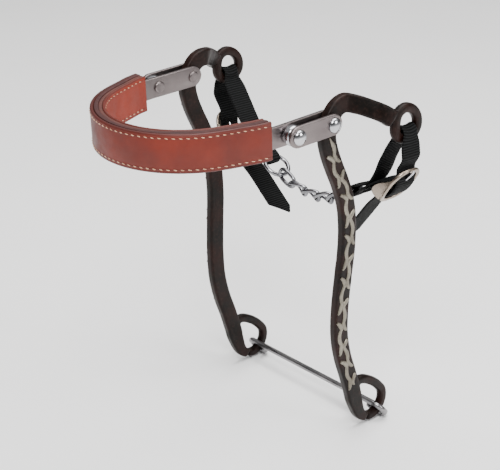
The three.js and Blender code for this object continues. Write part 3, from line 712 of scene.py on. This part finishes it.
def shank():
    """The bar with its headstall ring and rein ring, still as overlapping sweeps."""
    shape = Shape()
    whole = spline(ARM + STEM[1:], 220)
    total = len(whole) - 1

    def bar(t):
        narrow = (BAR_WIDTH - RING_BAR) * between(t, 0.915, 1) + 0.8 * (1 - between(t, 0, 0.15))
        return rounded(BAR_WIDTH - narrow, BAR_THICKNESS, 1.25, 4)

    shape.sweep(placed(whole), X, bar, cap=1.2)
    ring = rounded(RING_BAR, BAR_THICKNESS - 0.4, 2.0, 5)
    shape.sweep(placed(spline(HEAD_RING, 90, True)), X, lambda t: ring, True)
    shape.sweep(placed(spline(rein_ring(), 110)), X, lambda t: ring, cap=1.5)
    return shape


def cast_in_one(obj):
    """Melts the overlapping bars and rings of a shank into one skin with small fillets."""
    remesh = obj.modifiers.new("fuse", "REMESH")
    remesh.mode, remesh.voxel_size, remesh.use_smooth_shade = "VOXEL", 0.55 * MM, True
    smooth = obj.modifiers.new("fillet", "SMOOTH")
    smooth.factor, smooth.iterations = 0.5, 5
    apply_modifiers(obj)
    for polygon in obj.data.polygons:
        polygon.use_smooth = True


# ---- Scroll inlay ----
SCROLL_BENDS, WAVE, SWING, SCROLL_SHIFT, SCROLL_START = 12, 30.5, 2.35, -0.4, 5.9
SCROLL_LINE = spline(ARM[7:] + STEM[1:11], 1200)
SCROLL_LENGTH = lengths(SCROLL_LINE)
SCROLL_TANGENT = np.gradient(SCROLL_LINE, axis=0)
SCROLL_TANGENT /= np.linalg.norm(SCROLL_TANGENT, axis=1)[:, None]


def on_bar(down, across, out):
    """A point on the bar's outer face: down the bar, across to the rear, out from the face."""
    i = int(np.searchsorted(SCROLL_LENGTH, min(SCROLL_START + down, SCROLL_LENGTH[-1] - 0.01)))
    middle, along = SCROLL_LINE[i], SCROLL_TANGENT[i]
    across += SCROLL_SHIFT
    y, z = middle[1] - along[2] * across, middle[2] + along[1] * across
    return [shank_x(y, z) + BAR_THICKNESS / 2 + out, y, z]


def leaf(shape, points, half_widths, rise, steps=14):
    """A domed leaf lying on the bar, through (down, across) points with the given half widths."""
    line = spline([[d, a, 0] for d, a in points], steps)
    along = np.gradient(line, axis=0)
    along /= np.linalg.norm(along, axis=1)[:, None]
    widths = np.interp(np.linspace(0, 1, steps + 1), np.linspace(0, 1, len(half_widths)), half_widths)
    profile = [(-1, 0), (-0.93, 0.45), (-0.7, 0.82), (-0.35, 0.97), (0, 1),
               (0.35, 0.97), (0.7, 0.82), (0.93, 0.45), (1, 0)]
    vertices = []
    for p, t, w in zip(line, along, widths):
        height = rise * (0.55 + 0.45 * min(w / max(widths), 1))
        for side, lift in profile:
            vertices.append(on_bar(p[0] - t[1] * side * w, p[1] + t[0] * side * w, 0.02 + height * lift))
    n = len(profile)
    faces = [(i * n + j, i * n + j + 1, (i + 1) * n + j + 1, (i + 1) * n + j)
             for i in range(steps) for j in range(n - 1)]
    faces += [tuple(range(n - 1, -1, -1)), tuple(steps * n + j for j in range(n))]
    shape.add(vertices, faces, [[(vertices[q][1], vertices[q][2]) for q in f] for f in faces])


def scroll():
    """A weaving stem with two curled leaves at every bend."""
    shape = Shape()
    steps = 12 * SCROLL_BENDS // 2 + 1
    down = np.linspace(0, WAVE * SCROLL_BENDS / 2, steps)
    stem = [(d, SWING * math.sin(2 * math.pi * d / WAVE)) for d in down]
    swell = [0.4, 0.8] + [1.1 + 0.35 * abs(math.sin(2 * math.pi * d / WAVE)) for d in down[2:]]
    leaf(shape, stem, swell, 0.8, 4 * steps)
    rng = np.random.default_rng(7)
    for i in range(SCROLL_BENDS + 1):
        bend = WAVE * (i / 2 + 0.25) + 0.5 * rng.uniform(-1, 1)
        opening = -1 if i % 2 == 0 else 1
        reach = (2.7 if i % 2 == 0 else 3.7) + 0.3 * rng.uniform(-1, 1)
        upper = [(-11.6, 2.0), (-9.4, 1.7), (-7.2, 1.9), (-reach - 1.9, 2.8), (-reach - 0.7, 3.7),
                 (-reach - 1.1, 4.4)]
        lower = [(10.8, 1.3), (8.9, 0.5), (7.1, 0.7), (reach + 2, 1.9), (reach + 0.7, 3.2), (reach - 0.4, 4.4)]
        for points, widths in ((upper, [0.3, 1.1, 1.4, 1.35, 1.15, 0.65]),
                               (lower, [0.3, 1.2, 1.55, 1.55, 1.3, 0.85])):
            if (i == 0 and points is upper) or (i == SCROLL_BENDS and points is lower):
                continue
            leaf(shape, [(bend + d, opening * a) for d, a in points], widths, 0.95)
    return shape


for side in ("right", "left"):
    body = f"shank_body_{side}"
    pieces = (shank(), scroll()) if side == "right" else (shank().mirrored(), scroll().mirrored())
    cast_in_one(pieces[0].piece(f"shank_{side}", browned, body, (f"shank_{side}",), "antiqued_steel", sharp=50))
    pieces[1].piece(f"scroll_inlay_{side}", scroll_silver, body, (f"scroll_inlay_{side}",), "silver_inlay", sharp=60)

# ---- Crossbar ----
CROSSBAR_ANGLE, CROSSBAR_RADIUS, EYE = math.radians(-49), 2.0, 6.3
outwards = np.array([0, math.cos(CROSSBAR_ANGLE), math.sin(CROSSBAR_ANGLE)])
rim = np.array([0, REIN_Y, REIN_Z]) + outwards * REIN_RADIUS
half = [rim - EYE * outwards + x * X for x in (8, 20, 35, 50)]
half += [rim + (REIN_X + EYE * math.cos(a)) * X + EYE * math.sin(a) * outwards
         for a in np.radians(np.linspace(-90, 195, 18))]
rod = spline([p * np.array([-1, 1, 1]) for p in reversed(half)] + half, 300)
crossbar = Shape()


def rod_section(t):
    """Round along the bar, and drawn out sideways in the two eyes."""
    flat = between(abs(t - 0.5), 0.385, 0.42)
    angle = np.arange(20) * 2 * math.pi / 20
    return np.stack([(CROSSBAR_RADIUS - 0.15 * flat) * np.cos(angle),
                     (CROSSBAR_RADIUS + 0.9 * flat) * np.sin(angle)], axis=1)


crossbar.sweep(rod, np.cross(outwards, X), rod_section, cap=1.4)
crossbar.piece("crossbar", rod_steel, "crossbar_body", ("crossbar",), "satin_steel", sharp=60)


# ---- Curb chain and rings ----
def leftwards(degrees):
    """A direction to the left, raised by degrees."""
    return np.array([-math.cos(math.radians(degrees)), 0, math.sin(math.radians(degrees))])


def curb_ring(name, centre, direction, body):
    """A round wire ring in the plane of direction and Y."""
    shape = Shape()
    angle = np.arange(72) * 2 * math.pi / 72
    path = [centre + CURB_RING * (math.cos(a) * direction + math.sin(a) * Y) for a in angle]
    shape.sweep(path, np.cross(direction, Y), lambda t: circle(CURB_WIRE, 16), True)
    shape.piece(name, chain_metal, body, (name,), "chrome", sharp=80)


def link(name, centre, direction, twist, body):
    """An oval wire link that turns by twist from its first end to its last."""
    steps = 64
    angle = np.arange(steps) * 2 * math.pi / steps
    along = LINK_HALF * signed_power(np.cos(angle), 0.8)
    across = LINK_HALF_WIDTH * signed_power(np.sin(angle), 0.8)
    turn = 0.5 * twist * (1 + along / LINK_HALF)
    up = np.cross(direction, Y)
    path = centre + along[:, None] * direction + (across * np.sin(turn))[:, None] * Y \
        + (across * np.cos(turn))[:, None] * up
    path = spline(path, steps, True)
    inwards = centre - path
    tangent = np.roll(path, -1, 0) - np.roll(path, 1, 0)
    sides = np.cross(np.cross(tangent, inwards), tangent)
    shape = Shape()
    shape.sweep(path, sides, lambda t: circle(LINK_WIRE + 0.08, 12), True)
    shape.piece(name, chain_metal, body, (name,), "chrome", sharp=80)


ring_hook = LINK_WIRE + CURB_WIRE + GAP
link_hook = 2 * LINK_WIRE + GAP
tab_right = np.array([42.8, STRAP_Y, -61.8])
ring_centre = tab_right + leftwards(-RING_SLOPE) * (CURB_RING - TAB_SLACK)
curb_ring("curb_ring_right", ring_centre, leftwards(-RING_SLOPE), "ring_right")
reach = ring_centre + leftwards(-RING_SLOPE) * CURB_RING
for i in range(LINKS):
    direction = leftwards(CHAIN_SLOPE + CHAIN_BEND * (i - (LINKS - 1) / 2))
    centre = reach + direction * (LINK_HALF - (ring_hook if i == 0 else link_hook))
    link(f"chain_link_{i + 1}", centre, direction, 0 if i == LINKS - 1 else math.pi / 2, f"link_{i + 1}")
    reach = centre + direction * LINK_HALF
ring_centre = reach - direction * (ring_hook + 0.8) + leftwards(RING_SLOPE) * CURB_RING
curb_ring("curb_ring_left", ring_centre, leftwards(RING_SLOPE), "ring_left")
tab_left = ring_centre + leftwards(RING_SLOPE) * (CURB_RING - TAB_SLACK)
tab_left[0] = -tab_left[0]

# ---- Curb straps and buckles ----
BUCKLES = {
    "right": dict(x=77.5, z=-45.2, along=(0.6, 0.8), inner=[[74.5, -24], [69.8, -33], [66, -42], [60.5, -50]],
                  back=(66.2, -50.6), tab=tab_right, tail=(37, -94.5)),
    "left": dict(x=74.8, z=-50.5, along=(0.529, 0.8486), inner=[[74.8, -21], [69, -29], [62.5, -38], [55.5, -47]],
                 back=(64.5, -54.5), tab=tab_left, tail=(24, -98.5)),
}
BAR_LIFT, BAR_RADIUS = 1.4, 1.25


def on_buckle(buckle, s, n):
    """A point on the strap's middle plane: s along the buckle, n out from its bar."""
    ax, az = buckle["along"]
    return np.array([buckle["x"] + s * ax + n * az, STRAP_Y, buckle["z"] + s * az - n * ax])


def fold_round(centre, radius, start, end, count):
    """Points of an arc in the strap's plane, from start to end in degrees."""
    return [centre + radius * np.array([math.cos(a), 0, math.sin(a)])
            for a in np.radians(np.linspace(start, end, count))]


def strap_path(buckle):
    """The webbing's middle line, from the tail's tip to its free end.

    It goes through the buckle, over the headstall ring, down to the curb ring and back to the buckle's bar.
    """
    def at(x, z):
        return np.array([x, STRAP_Y, z])

    def through(s, n):
        return on_buckle(buckle, s, n)

    tip_x, tip_z = buckle["tail"]
    tab = buckle["tab"]
    path = [at(tip_x, tip_z), at(0.5 * (tip_x + 51), 0.5 * (tip_z - 76.5)), at(51, -76.5), through(-25, -2.2)]
    path += [through(s, n) for s, n in ((-18, -1.2), (-14.4, -0.7), (-10.3, 2.2), (-7.5, 4.7), (-3.5, 6),
                                        (0.5, 6.3), (4.5, 5.9), (8, 4), (10.5, 1.5), (14, -0.6), (18, -1))]
    side = BAR_THICKNESS / 2 + STRAP / 2 + 0.5
    path += [at(HEAD_X + x, z) for x, z in ((side + 1, -27), (side + 0.4, -21), (side, -15.5), (side - 0.7, -11),
                                            (0, -8.3), (0.7 - side, -11), (-side, -15.5))]
    inner = [at(x, z) for x, z in buckle["inner"]]
    path += inner
    end = inner[3]
    back_angle = math.degrees(math.atan2(tab[2] - end[2] + 4, tab[0] - end[0] + 3.5))
    middle = (tab + end) / 2
    path.append(middle + np.array([-0.3, 0, 1.2]))
    path += fold_round(tab, CURB_WIRE + 2 * GAP + STRAP / 2, back_angle - 80, back_angle + 80, 5)
    lower, behind = middle + np.array([0.8, 0, -1.8]), at(*buckle["back"]) + np.array([1.8, 0, 3.4])
    path += [lower, behind]
    path += fold_round(through(0, BAR_LIFT), BAR_RADIUS + 2 * GAP + STRAP / 2, 141, -75, 6)
    path.append(through(-6, 0))
    run = (lower - behind) / np.linalg.norm(lower - behind)
    below = 2.1 * np.array([-run[2], 0, run[0]])
    path += [behind + (lower - behind) * part + below for part in (0.1, 0.35, 0.6, 0.8)]
    return path


def smoothstep(value, low, high):
    """As between, but easing in and out."""
    t = between(value, low, high)
    return t * t * (3 - 2 * t)


def strap(buckle):
    """Webbing with real ribs across it and a cut tail, drawn in at the two rings."""
    rough = strap_path(buckle)
    total = lengths(spline(rough, 400))[-1]
    steps = int(total / RIB_PITCH * 6)
    path = spline(rough, steps)
    distance = lengths(path)
    columns = 15
    along = np.gradient(path, axis=0)
    along /= np.linalg.norm(along, axis=1)[:, None]
    vertices = []
    for i, p in enumerate(path):
        head = smoothstep(p[2], -21, -12.5) if p[0] > 70 else 0
        fold = 1 - smoothstep(np.linalg.norm(p - buckle["tab"]), 4, 15)
        half = 0.5 * (STRAP_WIDTH - 4.6 * head - 6 * fold)
        wave = math.cos(2 * math.pi * distance[i] / RIB_PITCH)
        front, rear = -half - 0.1 * wave, half + 0.1 * wave
        cut = between(distance[i], 0, 10)
        front, rear = max(front, 4.4 - 12.5 * cut), min(rear, 4.9 + 3.4 * between(distance[i], 0, 5))
        out = np.cross(along[i], Y)
        row = []
        for face in (1, -1):
            for j in range(columns):
                v = j / (columns - 1) * 2 - 1
                y = (front + rear) / 2 + face * v * (rear - front) / 2
                body = (1 - abs(v) ** 8) ** 0.5 if abs(v) < 1 else 0
                thick = STRAP / 2 * (0.35 + 0.65 * body) * (0.9 + 0.1 * wave * (1 - 0.4 * abs(v)))
                row.append((p + Y * y + face * out * thick + Z * (1.3 * head * v * v), y))
        vertices.append(row)
    n = 2 * columns
    shape = Shape()
    flat = [q for row in vertices for q, _ in row]
    faces, uvs = [], []
    for i in range(len(path) - 1):
        for j in range(n):
            k = (j + 1) % n
            faces.append((i * n + j, i * n + k, (i + 1) * n + k, (i + 1) * n + j))
            yj, yk = vertices[i][j][1], vertices[i][k][1]
            uvs.append(((distance[i], yj), (distance[i], yk), (distance[i + 1], yk), (distance[i + 1], yj)))
    last = (len(path) - 1) * n
    for base, order in ((0, range(n - 1, -1, -1)), (last, range(n))):
        faces.append([base + j for j in order])
        uvs.append([(0, 0)] * n)
    shape.add(flat, faces, uvs)
    return shape


def punch(obj, centre, axis, radius, stretch, mirror):
    """Marks the outline of a round-ended hole on obj, long in the direction that stretch gives.

    The cutter's faces point inwards, so the boolean splits obj's faces and cuts nothing away.
    """
    tool = Shape()
    axis = np.array(axis, float)
    tool.sweep([np.array(centre) - axis, np.array(centre), np.array(centre) + axis], stretch[0],
               lambda t: np.array([(radius * math.cos(a), (radius + (stretch[1] if math.sin(a) > 0 else 0)) *
                                    math.sin(a)) for a in np.arange(20) * 2 * math.pi / 20]))
    if mirror:
        tool = tool.mirrored()
    mesh = bpy.data.meshes.new("punch")
    mesh.from_pydata([tuple(MM * c for c in v) for v in tool.vertices], [], tool.faces)
    cutter = bpy.data.objects.new("punch", mesh)
    bpy.context.scene.collection.objects.link(cutter)
    modifier = obj.modifiers.new("hole", "BOOLEAN")
    modifier.operation, modifier.object, modifier.solver = "DIFFERENCE", cutter, "EXACT"
    apply_modifiers(obj)
    bpy.data.objects.remove(cutter)
    bpy.data.meshes.remove(mesh)


def buckle_frame(buckle):
    """A bowed rectangular frame, a curled cheek on each side and the bar between them."""
    half_length, half_width = 14.2, 10.6
    path = []
    for a in np.arange(96) * 2 * math.pi / 96:
        s = half_length * signed_power(math.cos(a), 0.7)
        bow = 3.35 + 0.5 * (1 - (s / half_length) ** 2)
        path.append(on_buckle(buckle, s, bow) + Y * half_width * signed_power(math.sin(a), 0.7))
    path = spline(path[::2], 120, True)
    outward = on_buckle(buckle, 0, 1) - on_buckle(buckle, 0, 0)
    shape = Shape()
    shape.sweep(path, outward, lambda t: rounded(3, 2.2, 0.8, 4), True)
    edge = spline([[-11.2, 3.4, 0], [-12.2, -1.5, 0], [-10.9, -4.2, 0], [-6.5, -4.4, 0], [-1, -2, 0], [3.5, 0.9, 0],
                   [8.5, 3.4, 0]], 30)
    for y in (10.7, -10.7):
        rings = []
        for offset, inset in ((-0.8, 0.35), (-0.6, 0.05), (0.6, 0.05), (0.8, 0.35)):
            centre = edge.mean(0)
            rings.append([on_buckle(buckle, *(centre + (p - centre) * (1 - inset / 8))[:2]) + Y * (y + offset)
                          for p in edge])
        n = len(edge)
        flat = [v for ring in rings for v in ring]
        faces = [(i * n + j, i * n + (j + 1) % n, (i + 1) * n + (j + 1) % n, (i + 1) * n + j)
                 for i in range(3) for j in range(n)]
        faces += [tuple(range(n - 1, -1, -1)), tuple(3 * n + j for j in range(n))]
        shape.add(flat, faces, [[(flat[q][0], flat[q][2]) for q in f] for f in faces])
    bar = on_buckle(buckle, 0, BAR_LIFT)
    shape.sweep([bar + Y * y for y in np.linspace(-half_width, half_width, 5)], X, lambda t: circle(BAR_RADIUS, 16))
    return shape


def buckle_tongue(buckle):
    """A wire curled round the bar, with its tip resting on the frame."""
    wire, eye = 0.85, BAR_RADIUS + GAP + 0.85
    line = [(eye * math.cos(a), BAR_LIFT + eye * math.sin(a))
            for a in np.radians([-230 + 32 * i for i in range(11)])]
    line += [(3.4, 4.2), (7, 4.8), (11, 5.4), (14.8, 5.8), (16.8, 5.5)]
    shape = Shape()
    shape.sweep(spline([on_buckle(buckle, s, n) for s, n in line], 90), Y,
                lambda t: circle(wire * (1 - 0.35 * between(t, 0.93, 1)), 12), cap=0.5)
    return shape


for side, buckle in BUCKLES.items():
    left = side == "left"

    def sided(shape):
        return shape.mirrored() if left else shape

    webbing_piece = sided(strap(buckle)).piece(f"curb_strap_{side}", black_webbing, f"strap_body_{side}",
                                               (f"curb_strap_{side}",), "black_webbing", sharp=80)
    punch(webbing_piece, (HEAD_X + 4.9, STRAP_Y + (-5.4 if left else 1.4), -21), (4, 0, 0), HOLE_RADIUS,
          (Z, 0), left)
    outward = on_buckle(buckle, 0, 1) - on_buckle(buckle, 0, 0)
    punch(webbing_piece, on_buckle(buckle, 4.6, 4.5), 2.6 * outward, TONGUE_HOLE_RADIUS,
          (np.cross(outward, Y), 2.0), left)
    sided(buckle_frame(buckle)).piece(f"buckle_frame_{side}", buckle_metal, f"strap_body_{side}",
                                      (f"buckle_frame_{side}",), "chrome", sharp=50)
    sided(buckle_tongue(buckle)).piece(f"buckle_tongue_{side}", chrome, f"tongue_{side}",
                                       (f"buckle_tongue_{side}",), "chrome", sharp=80)


# ---- Floor and light ----
FLOOR, LIGHT_TARGET = 15.0, (0, 0, -0.09)
floor_material = Look("floor", Roughness=0.9, Specular_IOR_Level=0.1)
floor_material.set("Base Color", floor_material.ramp(floor_material.noise(6, 3), [(0.3, 0.94), (0.7, 0.96)]))
floor_mesh = bpy.data.meshes.new("floor")
floor_z = cad_low.z - 0.0005
floor_mesh.from_pydata([(FLOOR * x, FLOOR * y, floor_z) for x, y in ((-1, -1), (1, -1), (1, 1), (-1, 1))], [],
                       [(0, 1, 2, 3)])
floor_mesh.materials.append(floor_material.material)
floor = bpy.data.objects.new("floor", floor_mesh)
bpy.context.scene.collection.objects.link(floor)


def area_light(name, location, size, power, color=(1, 1, 1)):
    light = bpy.data.lights.new(name, "AREA")
    light.energy, light.size, light.color = power, size, color
    obj = bpy.data.objects.new(name, light)
    obj.location = location
    obj.rotation_mode = "QUATERNION"
    obj.rotation_quaternion = (Vector(LIGHT_TARGET) - Vector(location)).to_track_quat("-Z", "Y")
    bpy.context.scene.collection.objects.link(obj)


area_light("key", (0.75, -0.75, 1.15), 0.55, 22)
area_light("overhead", (0.0, 0.3, 1.5), 1.4, 42, color=(1.0, 0.99, 0.98))
area_light("side", (1.2, 0.5, 0.5), 0.5, 7)

world = bpy.data.worlds.new("studio")
bpy.context.scene.world = world
world.use_nodes = True
tree = world.node_tree
background = tree.nodes["Background"]
coordinates = tree.nodes.new("ShaderNodeTexCoord")
split = tree.nodes.new("ShaderNodeSeparateXYZ")
ramp = tree.nodes.new("ShaderNodeValToRGB")
tree.links.new(coordinates.outputs["Generated"], split.inputs[0])
tree.links.new(split.outputs[2], ramp.inputs[0])
bands = ((0.0, 0.9), (0.08, 0.9), (0.16, 0.25), (0.4, 0.3), (0.62, 1.0))
while len(ramp.color_ramp.elements) < len(bands):
    ramp.color_ramp.elements.new(0.5)
for element, (position, shade) in zip(ramp.color_ramp.elements, bands):
    element.position = position
    element.color = (shade, shade, shade, 1)
tree.links.new(ramp.outputs[0], background.inputs[0])
background.inputs[1].default_value = 0.62
